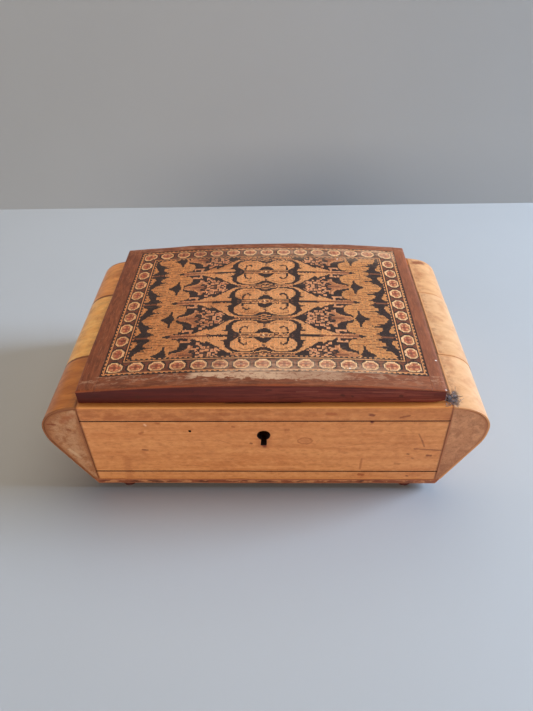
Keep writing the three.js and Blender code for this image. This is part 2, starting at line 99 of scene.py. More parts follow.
class Paint:
    """One node material, built a step at a time, in millimetres.
"""

    def __init__(self, name, metallic=0.0):
        self.material = bpy.data.materials.new(name)
        self.material.use_nodes = True
        self.tree = self.material.node_tree
        self.shader = self.tree.nodes["Principled BSDF"]
        self.shader.inputs["Metallic"].default_value = metallic
        self.place = self.vector("SCALE", self.node("TexCoord", {}, "Object"), scale=1 / MM)
        self.colour = None

    def feed(self, node, inputs):
        """Link or set a node's inputs; None leaves an input as it is."""
        for key, value in inputs.items():
            if value is None:
                continue
            socket = node.inputs[key]
            if isinstance(value, bpy.types.NodeSocket):
                self.tree.links.new(value, socket)
            else:
                socket.default_value = (*value, 1) if socket.type == "RGBA" else value

    def node(self, kind, inputs, output=0, **settings):
        node = self.tree.nodes.new("ShaderNode" + kind)
        for key, value in settings.items():
            setattr(node, key, value)
        self.feed(node, inputs)
        return node.outputs[output]

    def vector(self, operation, a, b=None, scale=None):
        output = "Value" if operation in ("LENGTH", "DOT_PRODUCT") else "Vector"
        return self.node("VectorMath", {0: a, 1: b, "Scale": scale}, output, operation=operation)

    def maths(self, operation, a, b=None, clamp=False):
        return self.node("Math", {0: a, 1: b}, operation=operation, use_clamp=clamp)

    def times(self, a, b):
        return self.maths("MULTIPLY", a, b)

    def axis(self, name):
        return self.node("SeparateXYZ", {0: self.place}, name)

    def texture(self, kind, size, offset, output, **inputs):
        """A texture whose features are size long, one number or one for each axis."""
        x, y, z = size if isinstance(size, tuple) else (size, size, size)
        scaled = self.vector("MULTIPLY", self.place, (1 / x, 1 / y, 1 / z))
        where = self.vector("ADD", scaled, (offset, offset * 1.7, offset * 2.3))
        return self.node(kind, {"Vector": where, "Scale": 1.0, **inputs}, output)

    def noise(self, size, offset, detail=3.0, rough=0.5, warp=0.0):
        return self.texture("TexNoise", size, offset, "Fac", Detail=detail, Roughness=rough, Distortion=warp)

    def cells(self, size, offset):
        return self.texture("TexVoronoi", size, offset, "Distance")

    def between(self, value, low, high, out_low=0.0, out_high=1.0):
        inputs = dict(enumerate((value, low, high, out_low, out_high)))
        return self.node("MapRange", inputs, interpolation_type="SMOOTHSTEP")

    def blend(self, share, a, b, mode="MIX"):
        return self.node("Mix", {"Factor": share, 6: a, 7: b}, 2, data_type="RGBA", blend_type=mode)

    def over(self, share, tone):
        """Paint a tone over the colour so far: an 8-bit display colour, or a socket."""
        if isinstance(tone, tuple):
            tone = srgb(*tone)
        self.colour = self.blend(share, self.colour, tone)

    def attribute(self, name, output="Fac"):
        return self.node("Attribute", {}, output, attribute_name=name)

    def bump(self, height, depth, after=None):
        """Relief of a given depth."""
        return self.node("Bump", {"Distance": depth * MM, "Height": height, "Normal": after}, "Normal")

    def flat(self, plane):
        """The place with the axis across the plane left out; the plane is "XZ" or "XY"."""
        return self.vector("MULTIPLY", self.place, tuple(float(name in plane) for name in "XYZ"))

    def stroke(self, plane, a, b, width, ragged):
        """1 on the stroke from a to b, fading to 0 at its ragged edge."""
        a, b = in_space(plane, a), in_space(plane, b)
        along = b - a
        from_a = self.vector("SUBTRACT", self.flat(plane), tuple(a))
        share = self.vector("DOT_PRODUCT", from_a, tuple(along / along.length_squared))
        share = self.maths("MULTIPLY", share, 1.0, clamp=True)
        nearest = self.vector("SCALE", tuple(along), scale=share)
        gap = self.vector("LENGTH", self.vector("SUBTRACT", from_a, nearest))
        gap = self.maths("ADD", gap, self.times(self.noise(1.1, a.length, 2), ragged))
        width += ragged / 2
        return self.between(gap, width * 0.45, width, 1.0, 0.0)

    def ring(self, plane, centre, radii, width):
        """1 on an oval ring, fading to 0 at both sides."""
        offset = self.vector("SUBTRACT", self.flat(plane), tuple(in_space(plane, centre)))
        squashed = self.vector("MULTIPLY", offset, tuple(in_space(plane, [1 / r for r in radii])))
        wobble = self.times(self.noise(1.5, 3.0, 2), 0.5)
        far = self.maths("ADD", self.vector("LENGTH", squashed), wobble)
        off_ring = self.maths("ABSOLUTE", self.maths("SUBTRACT", far, 1.25))
        return self.between(off_ring, 0.0, width / min(radii), 1.0, 0.0)

    def scars(self, plane, marks):
        """Paint marks over the colour: for each tone, strokes of two ends, a width and a strength."""
        for tone, strokes in marks.items():
            for *ends, width, strength in strokes:
                mask = self.stroke(plane, ends[:2], ends[2:], width, width * 0.9)
                self.over(self.times(mask, strength), tone)

    def finish(self, roughness, normal=None, specular=0.5):
        """Put the colour and the rest on the shader, and return the material."""
        self.feed(self.shader, {"Base Color": self.colour, "Roughness": roughness,
                                "Specular IOR Level": specular, "Normal": normal})
        return self.material


def wood(name, axis, pale, deep, dirt, offset, worn=None, pore_depth=0.35, figure=45.0, fibre=14.0,
         roughness=0.42, stain=0.45, speck=0.55, extra=None, relief=0.03, contrast=0.4, specular=0.5):
    """An old polished wood with its grain along an axis. extra(paint) may paint more on it."""
    paint = Paint(name)

    def grain(length, *rest):
        return paint.noise(tuple(length * (1 if side == axis else 0.06) for side in "XYZ"), *rest)

    broad = grain(figure, offset, 3, 0.55, 0.6)
    fine = grain(fibre, offset + 3, 4, 0.65, 0.2)
    pores = grain(fibre / 3, offset + 9, 2, 0.5)
    paint.colour = paint.blend(paint.between(broad, 0.3, 0.72), srgb(*pale), srgb(*deep))
    paint.over(paint.between(fine, 0.35, 0.75, 0.0, contrast), deep)
    paint.over(paint.times(paint.between(pores, 0.6, 0.72), pore_depth), dirt)
    cloud = paint.noise(16, offset + 5, 5, 0.6, 0.4)
    paint.over(paint.between(cloud, 0.5, 0.78, 0.0, stain), dirt)
    dots = paint.between(paint.cells(4.5, offset + 2), 0.05, 0.13, 1.0, 0.0)
    dots = paint.times(dots, paint.between(cloud, 0.42, 0.6))
    paint.over(paint.times(dots, speck), dirt)
    if extra:
        extra(paint)
    if worn:
        ragged = paint.noise(2.2, offset + 6, 4, 0.7)
        rubbed = paint.maths("ADD", paint.attribute("wear"), paint.times(ragged, 0.6))
        paint.over(paint.between(rubbed, 0.62, 1.0), worn)
    gloss = paint.maths("ADD", paint.times(cloud, 0.3), roughness - 0.15)
    normal = paint.bump(cloud, relief * 2.5, paint.bump(fine, relief))
    return paint.finish(gloss, normal, specular)


# ---- meshes ----
def lattice(xs, ys, zs):
    """The closed surface of a box cut into cells; the last quads are its +z side, x by y."""
    lines = (np.asarray(xs), np.asarray(ys), np.asarray(zs))
    count = [len(line) for line in lines]
    sides = []
    for axis in range(3):
        u, v = [other for other in range(3) if other != axis]
        cell_u, cell_v = np.meshgrid(np.arange(count[u] - 1), np.arange(count[v] - 1), indexing="ij")
        for end in (0, count[axis] - 1):
            around = []
            for step_u, step_v in ((0, 0), (1, 0), (1, 1), (0, 1)):
                index = [None] * 3
                index[axis] = np.full(cell_u.shape, end)
                index[u] = cell_u + step_u
                index[v] = cell_v + step_v
                around.append(((index[0] * count[1] + index[1]) * count[2] + index[2]).ravel())
            quads = np.stack(around, 1)
            outward = (end > 0) == (axis != 1)
            sides.append(quads if outward else quads[:, ::-1])
    quads = np.concatenate(sides)
    used, renumbered = np.unique(quads, return_inverse=True)
    i, rest = np.divmod(used, count[1] * count[2])
    j, k = np.divmod(rest, count[2])
    verts = np.stack([lines[0][i], lines[1][j], lines[2][k]], 1)
    return verts, renumbered.reshape(quads.shape)


def ripple(points, size, seed):
    """Smooth noise from -1 to 1 with features of about the given size."""
    rng = np.random.default_rng(seed)
    total = np.zeros(len(points))
    for octave in range(3):
        for _ in range(5):
            way = rng.normal(size=3)
            way *= 2 ** octave * 2 * math.pi / size / np.linalg.norm(way) / 2
            total += np.sin(points @ way + rng.uniform(0, 2 * math.pi)) / 2 ** octave
    return np.clip(total / 4, -1, 1)


def cuts(low, high, cell, radius):
    """Coordinates from low to high, closer together within the edge radius."""
    inner = np.linspace(low + radius, high - radius, max(2, round((high - low) / cell) + 1))
    near = radius * np.array([0, 0.35, 0.7])
    return np.concatenate([low + near, inner, high - near[::-1]])


def board(low, high, cell, radius, uneven, nicks, seed):
    """A worn board in millimetres: rounded edges, a slightly uneven face and small nicks.

    Returns vertices, quads and each vertex's wear, which is 1 on the edges."""
    low, high = np.array(low, float), np.array(high, float)
    radius = min(radius, *(high - low) / 2.2)
    verts, quads = lattice(*(cuts(a, b, cell, radius) for a, b in zip(low, high)))
    core = np.clip(verts, low + radius, high - radius)
    out = verts - core
    out /= np.linalg.norm(out, axis=1, keepdims=True)
    to_side = np.sort(np.minimum(verts - low, high - verts), axis=1)
    edge = np.exp(-to_side[:, 1] / 1.1)
    nick = np.clip(ripple(verts, 9, seed + 1) - 0.35, 0, 1) * nicks * edge
    sink = uneven * (0.5 + 0.5 * ripple(verts, 35, seed)) + nick
    return core + out * (radius - sink)[:, None], quads, np.clip(edge + nick * 2, 0, 1)


def shape(name, verts, faces, material):
    """An object from points in millimetres."""
    mesh = bpy.data.meshes.new(name)
    mesh.from_pydata((np.asarray(verts) * MM).tolist(), [], [tuple(face) for face in faces])
    mesh.materials.append(material)
    return put(name, mesh)


def make(name, verts, faces, material, body, slot, node, wear=None):
    """A piece that rides on a body and replaces a CAD node; it is smooth if it has wear."""
    piece = shape(name, verts, faces, material)
    mesh = piece.data
    mesh.polygons.foreach_set("use_smooth", [wear is not None] * len(mesh.polygons))
    if wear is not None:
        layer = mesh.attributes.new("wear", "FLOAT", "POINT")
        layer.data.foreach_set("value", np.asarray(wear, np.float32))
    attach(piece, body)
    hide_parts(node)
    return piece


def without(piece, *cutters):
    """Take the cutters' shapes out of the piece; the cut faces keep the cutters' material."""
    for tool in cutters:
        step = piece.modifiers.new("cut", "BOOLEAN")
        step.operation = "DIFFERENCE"
        step.solver = "EXACT"
        step.material_mode = "TRANSFER"
        step.object = tool
    graph = bpy.context.evaluated_depsgraph_get()
    mesh = bpy.data.meshes.new_from_object(piece.evaluated_get(graph))
    piece.modifiers.clear()
    piece.data = mesh
    for tool in cutters:
        bpy.data.objects.remove(tool)


def cutter(verts, faces, material):
    tool = shape("cutter", verts, faces, material)
    sorter = bmesh.new()
    sorter.from_mesh(tool.data)
    bmesh.ops.recalc_face_normals(sorter, faces=sorter.faces)
    sorter.to_mesh(tool.data)
    sorter.free()
    return tool


def block_cutter(material, *boxes):
    """One cutter of several separate boxes, each given as its lowest and highest corner."""
    verts, quads = [], []
    for low, high in boxes:
        box_verts, box_quads = lattice(*zip(low, high))
        quads.append(box_quads + 8 * len(verts))
        verts.append(box_verts)
    return cutter(np.concatenate(verts), np.concatenate(quads), material)


def recess_cutter(material, room, *nodes):
    """Boxes that clear CAD nodes by a little all round."""
    return block_cutter(material, *((low - room, high + room) for low, high in map(corners, nodes)))


def tube(levels, sides):
    """Quads that join rings of points, each ring to the next."""
    first = range(0, (levels - 1) * sides, sides)
    pairs = [(start + i, start + (i + 1) % sides) for start in first for i in range(sides)]
    return [(a, b, b + sides, a + sides) for a, b in pairs]


def turned(profile, sides):
    """A closed lathe form about the z axis from (radius, height) points, first and last on the axis."""
    rings = profile[1:-1]
    angles = [2 * math.pi * i / sides for i in range(sides)]
    verts = [(radius * math.cos(turn), radius * math.sin(turn), height)
             for radius, height in rings for turn in angles]
    faces = tube(len(rings), sides)
    start, end = len(verts), len(verts) + 1
    verts += [(0, 0, profile[0][1]), (0, 0, profile[-1][1])]
    last = (len(rings) - 1) * sides
    for i in range(sides):
        j = (i + 1) % sides
        faces += [(start, j, i), (end, last + i, last + j)]
    return np.array(verts), faces


# ---- woods ----
DIRT = (74, 34, 18)
DARK_MARK = (128, 52, 14)
RED_MARK = (110, 34, 18)
BROWN_MARK = (160, 72, 18)
INNER, _, RIM = map(float, corners("front_panel")[1])  # where the wedge ends start, and the case's rim
FRONT = corners("front_panel")[0][1]
UPPER_LINE = float(corners("front_upper_line")[1][2])
KEYHOLE = (0.0, RIM - 19.8)
NAIL = (-36.5, RIM - 16.5)

FRONT_MARKS = {
    BROWN_MARK: [
        (-61.6, 44.2, -60.4, 45.0, 1.3, 0.6), (-71.6, 25, -73.0, 8, 3.0, 0.3),
        (-52.5, 52, -51, 51.6, 1.0, 0.55), (-15.2, 49.2, -14.4, 48.8, 0.9, 0.6),
        (11.2, 46.8, 12.4, 46.8, 1.3, 0.5), (19.4, 38.8, 21.8, 38.4, 2.2, 0.35),
        (31, 58.2, 34.5, 58, 1.6, 0.5), (-20, 57.8, -12, 58.2, 1.6, 0.35),
        (49.9, 24.6, 49.6, 16.6, 0.9, 0.5), (49.4, 12, 51.4, 11.6, 1.5, 0.8),
        (67.4, 21, 69.4, 20.6, 1.1, 0.4), (-24, 40, -14, 35, 0.35, 0.35),
        (30, 33, 58, 37.5, 0.35, 0.3), (-45, 20, -20, 17, 0.4, 0.3), (60, 46, 70, 44, 0.35, 0.35),
    ],
    DARK_MARK: [
        (-62.3, 31.9, -59.6, 31.6, 0.8, 0.75), (-6.8, 37, -6.2, 36.6, 0.8, 0.75),
        (66, 55.4, 70, 56.8, 0.9, 0.65), (76.3, 43.8, 78.7, 38.6, 0.6, 0.5),
        (78.7, 38.6, 80.4, 34.2, 0.7, 0.55), (75.8, 32.6, 89.8, 31.3, 0.8, 0.62),
        (82.8, 27.4, 84.6, 27.2, 1.1, 0.85), (72.6, 28.6, 73.4, 28.4, 0.8, 0.7),
        (75.4, 25.4, 76, 25.2, 0.7, 0.6), (74.5, 10.8, 75, 10.6, 0.8, 0.8),
    ],
    (246, 208, 170): [(-58.3, 50.6, -57.8, 50.2, 1.0, 0.7)],
    RED_MARK: [(51.4, 57.4, 52.8, 57.2, 1.3, 0.8), (52.3, 52.6, 52.8, 52.2, 1.2, 0.95)],
}
SLAB_MARKS = {
    DIRT: [(37.6, 67.5, 38.2, 67.2, 1.3, 0.8), (42.2, 66.8, 42.6, 66.5, 0.9, 0.8),
           (64.8, 67, 65.6, 66.8, 1.2, 0.7), (-59.6, 66.9, -59, 66.6, 1.6, 0.5), (2, 71, 4, 70.8, 0.9, 0.6)],
    (170, 104, 84): [(16, 69.8, 26, 70, 0.5, 0.28)],
    (176, 108, 86): [(52, 69.4, 66, 69, 0.5, 0.28), (68, 67.6, 80, 67.4, 0.4, 0.28),
                     (70, 64.4, 84, 64.6, 0.5, 0.28)],
}
LEFT_FACE_MARKS = {
    DARK_MARK: [(-107.4, 51.2, -102.6, 50.7, 0.8, 0.85), (-97, 47, -96, 46.6, 1.0, 0.7)],
    BROWN_MARK: [(-99, 53, -93, 57, 2.4, 0.45)],
    (226, 196, 160): [(-100, 32, -96, 26, 1.4, 0.4)],
}
SECTION_MARKS = {
    DARK_MARK: [(94, 60.5, 99, 62, 3.0, 0.8)],
    BROWN_MARK: [(93, 52, 95, 48, 2.4, 0.35), (96, 3, 99, 1, 2.0, 0.3)],
    (70, 58, 56): [(91, -66.5, 92.5, -59, 2.6, 0.85)],
}
# drops of white paint on the lid, and its chipped front corner: x, y and size
SPECKS = [(42.9, 46.6, 0.5), (41.6, -53.6, 0.5), (84.8, -44.6, 0.5), (85.6, -65.2, 0.55)]
MOSAIC_EDGE = float(corners("mosaic_border_front")[0][1])


def panel_marks(paint):
    """Grime in the end joints and round the keyhole, and two centuries of knocks."""
    smear = paint.noise((9, 5, 5), 31, 4, 0.6)
    paint.over(paint.between(smear, 0.56, 0.72, 0.0, 0.25), BROWN_MARK)
    mottle = paint.noise((3.0, 2, 1.7), 33, 5, 0.68)
    paint.over(paint.between(mottle, 0.48, 0.7, 0.0, 0.4), (176, 96, 44))
    paint.over(paint.between(mottle, 0.48, 0.3, 0.0, 0.35), (244, 180, 122))
    strip = paint.between(paint.axis("Z"), UPPER_LINE, UPPER_LINE + 0.4)
    handled = paint.between(smear, 0.36, 0.6, 0.15, 0.6)
    handled = paint.times(handled, paint.between(paint.axis("X"), 80, -60, 0.45, 1.0))
    paint.over(paint.times(strip, handled), (160, 82, 26))
    paint.scars("XZ", FRONT_MARKS)
    stain = paint.ring("XZ", (20.6, 38.6), (3.4, 2.3), 0.7)
    paint.over(paint.times(stain, 0.55), BROWN_MARK)
    x, z = KEYHOLE
    paint.over(paint.times(paint.stroke("XZ", (x, z), (x, z - 6), 5.2, 1.5), 0.4), BROWN_MARK)
    paint.over(paint.stroke("XZ", (x - 0.4, z - 6.4), (x + 0.3, z - 8), 1.7, 1.2), DARK_MARK)
    top = paint.between(paint.axis("Z"), RIM - 0.5, RIM - 0.2)
    paint.over(paint.times(top, 0.75), (222, 134, 62))
    off_end = paint.maths("SUBTRACT", INNER, paint.maths("ABSOLUTE", paint.axis("X")))
    paint.over(paint.between(off_end, 0.3, 1.2, 0.7, 0.0), (128, 62, 28))


def base_marks(paint):
    """Pale worn places and dark patches along the foot of the front."""
    rub = paint.noise((6, 3, 2.4), 12, 4, 0.65)
    paint.over(paint.between(rub, 0.47, 0.58, 0.0, 0.85), (212, 148, 100))
    grime = paint.noise((9, 4, 3.5), 19, 3, 0.6)
    paint.over(paint.between(grime, 0.5, 0.62, 0.0, 0.8), (78, 34, 22))


def slab_marks(paint):
    """The lid's edge: redder and scratched towards the right, with small dents."""
    tone = paint.between(paint.axis("X"), -70, 60)
    streak = paint.noise((14, 0.6, 0.6), 3, 4, 0.7)
    paint.over(paint.times(tone, paint.between(streak, 0.4, 0.62, 0.15, 0.9)), (134, 62, 48))
    paint.scars("XZ", SLAB_MARKS)


def paint_specks(paint):
    for x, y, size in SPECKS:
        paint.over(paint.stroke("XY", (x, y), (x + 0.4, y + 0.1), size, 0.3), (244, 240, 232))


def margin_marks(size):
    """Streaky old polish, bleached along the front where the lid was lifted."""
    def marks(paint):
        smear = paint.noise((*size, 3), 14, 5, 0.7, 0.7)
        paint.over(paint.between(smear, 0.42, 0.62, 0.0, 0.8), (94, 44, 24))
        streak = paint.noise((size[0] * 0.4, size[1] * 0.5, 1), 25, 5, 0.8)
        paint.over(paint.between(streak, 0.54, 0.68, 0.0, 0.5), (176, 116, 82))
        x, y = paint.axis("X"), paint.axis("Y")
        paint.over(paint.between(x, -20, 90, 0.0, 0.25), (178, 112, 84))
        ragged = paint.noise((5, 2.2, 3), 17, 7, 0.72, 0.4)
        depth = paint.between(x, -34, 12, 3.6, 5.6)  # how far the bleached strip reaches
        depth = paint.maths("ADD", depth, paint.times(paint.maths("SUBTRACT", ragged, 0.5), 9.0))
        off_mosaic = paint.maths("SUBTRACT", MOSAIC_EDGE, y)
        within = paint.between(paint.maths("SUBTRACT", depth, off_mosaic), 0.0, 0.5)
        ahead = paint.between(off_mosaic, -0.4, -0.1)
        ends = paint.times(paint.between(x, -37, -32), paint.between(x, 44, 34))
        bleach = paint.times(paint.times(within, ahead), ends)
        film = paint.noise((2.4, 1.4, 2), 61, 6, 0.75)
        bleach = paint.times(bleach, paint.between(film, 0.38, 0.52, 0.25, 0.9))
        paint.over(bleach, paint.blend(paint.between(x, 4, 16), srgb(206, 164, 130), srgb(178, 136, 106)))
        faint = paint.times(paint.between(off_mosaic, 9, 2), ahead)
        faint = paint.times(faint, paint.between(ragged, 0.5, 0.6, 0.0, 0.55))
        paint.over(faint, (186, 142, 112))
        rear = paint.between(y, -MOSAIC_EDGE - 2, -MOSAIC_EDGE + 6)
        paint.over(paint.times(rear, paint.between(ragged, 0.48, 0.62, 0.0, 0.45)), (176, 128, 98))
        paint_specks(paint)
    return marks


def left_face_marks(paint):
    """Bleached end grain inside a darker edge, and a short crack near the nose."""
    patch = paint.noise(5, 41, 6, 0.72, 0.3)
    middle = paint.between(paint.attribute("wear"), 0.03, 0.3, 1.0, 0.0)
    pale = paint.times(paint.between(patch, 0.36, 0.62), middle)
    paint.over(paint.times(pale, 0.7), (208, 162, 122))
    paint.over(paint.between(paint.cells(1.1, 46), 0.14, 0.3, 0.35, 0.0), DARK_MARK)
    paint.scars("XZ", LEFT_FACE_MARKS)


def right_face_marks(paint):
    """Fine dark specks and brown clouds, browner towards the foot."""
    paint.over(paint.between(paint.cells(1.3, 44), 0.12, 0.26, 0.4, 0.0), DARK_MARK)
    cloud = paint.noise(4, 47, 6, 0.7, 0.3)
    paint.over(paint.between(cloud, 0.42, 0.66, 0.0, 0.5), (142, 86, 54))
    paint.over(paint.between(paint.axis("Z"), RIM - 20, RIM - 52, 0.0, 0.3), (150, 84, 50))


def section_clouds(paint):
    """Brown cloudy polish, thickest beside the lid, and smudges on top of the right sections."""
    cloud = paint.noise((9, 7, 9), 51, 5, 0.65, 0.5)
    paint.over(paint.between(cloud, 0.46, 0.7, 0.0, 0.45), (186, 112, 62))
    near_lid = paint.between(paint.maths("ABSOLUTE", paint.axis("X")), INNER + 9, INNER)
    ragged = paint.noise(3, 52, 4, 0.7)
    paint.over(paint.times(near_lid, paint.between(ragged, 0.4, 0.65, 0.15, 0.75)), (158, 96, 52))
    clean = paint.colour
    paint.scars("XY", SECTION_MARKS)
    on_top = paint.between(paint.axis("Z"), RIM - 12, RIM - 7)
    paint.colour = paint.blend(on_top, clean, paint.colour)


def section(name, pale, deep, offset):
    """The skin of one section of a wedge end."""
    worn = (150, 90, 46) if "left" in name else (214, 150, 98)
    return wood("veneer_" + name, "X", pale, deep, (140, 82, 42), offset, worn, figure=60, fibre=30,
                roughness=0.36, stain=0.3, speck=0.3, pore_depth=0.05, contrast=0.08, relief=0.015,
                extra=section_clouds)


END_SKINS = {
    name: section(name, pale, deep, offset)
    for name, pale, deep, offset in (
        ("left_front", (210, 134, 62), (174, 98, 38), 4.0),
        ("left_middle", (255, 201, 124), (246, 178, 98), 4.3),
        ("left_rear", (242, 168, 98), (220, 140, 74), 4.6),
        ("right_front", (230, 176, 128), (220, 162, 112), 5.0),
        ("right_middle", (226, 174, 126), (214, 157, 108), 5.3),
        ("right_rear", (228, 172, 120), (215, 155, 104), 5.6),
    )
}
PANEL_WOOD = wood("panel_wood", "X", (230, 158, 96), (214, 136, 76), (150, 72, 26), 1.0, (232, 154, 82),
                  figure=60, extra=panel_marks, stain=0.25, speck=0.3, pore_depth=0.12, contrast=0.22)
CASE_WOOD = wood("case_wood", "X", (150, 96, 60), (116, 70, 42), DIRT, 2.0, roughness=0.6)
LEFT_FACE = wood("left_face_wood", "Y", (184, 124, 78), (158, 98, 58), (106, 56, 30), 3.0, (150, 90, 52),
                 figure=60, fibre=40, roughness=0.6, extra=left_face_marks)
END_WOOD = wood("end_wood", "Y", (214, 156, 114), (192, 132, 92), (112, 62, 36), 3.5, (176, 114, 78),
                figure=60, fibre=40, roughness=0.6, extra=right_face_marks)
LID_WOOD = wood("lid_wood", "X", (100, 34, 25), (74, 23, 18), (44, 12, 10), 5.0, (98, 32, 20),
                figure=50, roughness=0.5, specular=0.3, extra=slab_marks)
MARGIN_WOODS = {
    axis: wood("margin_wood_" + axis.lower(), axis, (148, 80, 46), (122, 60, 34), (72, 30, 18), 6.0,
               (150, 76, 46), figure=30, roughness=0.4, extra=margin_marks(size), specular=0.3)
    for axis, size in (("X", (9, 1.6)), ("Y", (1.6, 9)))
}
BASE_WOOD = wood("base_wood", "X", (156, 88, 54), (124, 62, 38), (60, 26, 18), 7.0, (176, 104, 62),
                 figure=25, roughness=0.5, extra=base_marks)
# the feet's red wood, painted darker as shade: partly the wood's own red, partly the shadow the box casts on
# the feet
FOOT_WOOD_SHADED = wood("foot_wood_painted_shade", "Z", (94, 37, 27), (72, 27, 21), (44, 18, 14), 7.7, (104, 46, 34),
                 roughness=0.45)
LINE_WOOD = wood("line_wood", "X", (58, 20, 10), (38, 14, 8), (24, 8, 6), 8.0, roughness=0.6, specular=0.2)
DRAWER_WOOD = wood("drawer_wood", "X", (196, 150, 98), (172, 122, 76), (104, 66, 40), 9.0, roughness=0.6)
# near-black wood for the walls of the keyhole and the nail hole: painted shade, standing in for the dark
# inside the holes
HOLE_SHADE_WOOD = wood("hole_wood_painted_shade", "Z", (52, 22, 14), (26, 11, 9), (14, 7, 6), 10.0, roughness=0.8)


# ---- metals, paper and lint ----
def cloudy(name, cloud, low, high, pale, deep, metallic=0.0):
    """A paint of two tones, mixed by a noise; returns the paint and the noise."""
    paint = Paint(name, metallic)
    cloud = paint.noise(*cloud)
    paint.colour = paint.blend(paint.between(cloud, low, high), srgb(*pale), srgb(*deep))
    return paint, cloud


def brass(name, pale, deep):
    paint, cloud = cloudy(name, (2.5, 1, 5, 0.65), 0.35, 0.7, pale, deep, 1.0)
    paint.over(paint.between(cloud, 0.62, 0.8, 0.0, 0.7), (70, 52, 36))
    gloss = paint.maths("ADD", paint.times(cloud, 0.35), 0.2)
    return paint.finish(gloss, paint.bump(paint.noise((3, 0.2, 0.2), 2, 3, 0.6), 0.02))


def steel():
    paint, cloud = cloudy("old_steel", (2, 4, 5, 0.7), 0.4, 0.7, (132, 128, 122), (84, 70, 60), 1.0)
    paint.over(paint.between(cloud, 0.6, 0.75, 0.0, 0.8), (92, 56, 36))
    gloss = paint.maths("ADD", paint.times(cloud, 0.4), 0.2)
    return paint.finish(gloss, paint.bump(cloud, 0.05))


def lining():
    paint, pulp = cloudy("lining_paper", (0.8, 4, 4, 0.7), 0.3, 0.7, (118, 138, 146), (98, 118, 128))
    fox = paint.noise(9, 8, 5, 0.6)
    paint.over(paint.between(fox, 0.55, 0.75, 0.0, 0.6), (138, 116, 84))
    return paint.finish(0.9, paint.bump(pulp, 0.03), specular=0.2)


def lint():
    paint, _ = cloudy("lint", (1.2, 6, 3, 0.6), 0.35, 0.65, (46, 42, 52), (158, 152, 160))
    return paint.finish(0.9, specular=0.2)


BRASS = brass("old_brass", (196, 156, 88), (120, 84, 46))
# the lock's brass, painted much darker than the fittings' brass as shade: it sits in the dark behind the
# keyhole
LOCK_BRASS_SHADED = brass("lock_brass_painted_shade", (122, 88, 58), (64, 42, 30))
STEEL = steel()
LINING = lining()
LINT = lint()

# ---- mosaic ----
TESSERA = 0.65
TOP_T = 1.2  # thickness of the mosaic and of the margins round it
REPEAT = 46  # tesserae from one row of the pattern to the next
ROUNDEL = 16  # tesserae from one roundel of the border to the next
WOODS = {
    "black": (38, 24, 22), "tan": (217, 146, 91), "gold": (205, 136, 79), "salmon": (217, 146, 100),
    "brown": (132, 76, 48), "mud": (108, 68, 48), "red": (168, 84, 60), "pale": (248, 190, 138),
    "plum": (118, 64, 44), "petal": (182, 114, 72), "vein": (160, 98, 56),
}
WOOD_NAMES = list(WOODS)


def inside(outline, a, h):
    """Which points lie in a polygon."""
    hit = np.zeros(a.shape, bool)
    for (a0, h0), (a1, h1) in zip(outline, outline[1:] + outline[:1]):
        if h0 != h1:
            crosses = (h0 > h) != (h1 > h)
            hit ^= crosses & (a < (a1 - a0) * (h - h0) / (h1 - h0) + a0)
    return hit


def off_line(points, a, h):
    """Distance from a line through the given points."""
    best = np.full(a.shape, 1e9)
    for (a0, h0), (a1, h1) in zip(points, points[1:]):
        da, dh = a1 - a0, h1 - h0
        share = np.clip(((a - a0) * da + (h - h0) * dh) / (da * da + dh * dh), 0, 1)
        best = np.minimum(best, np.hypot(a - a0 - share * da, h - h0 - share * dh))
    return best


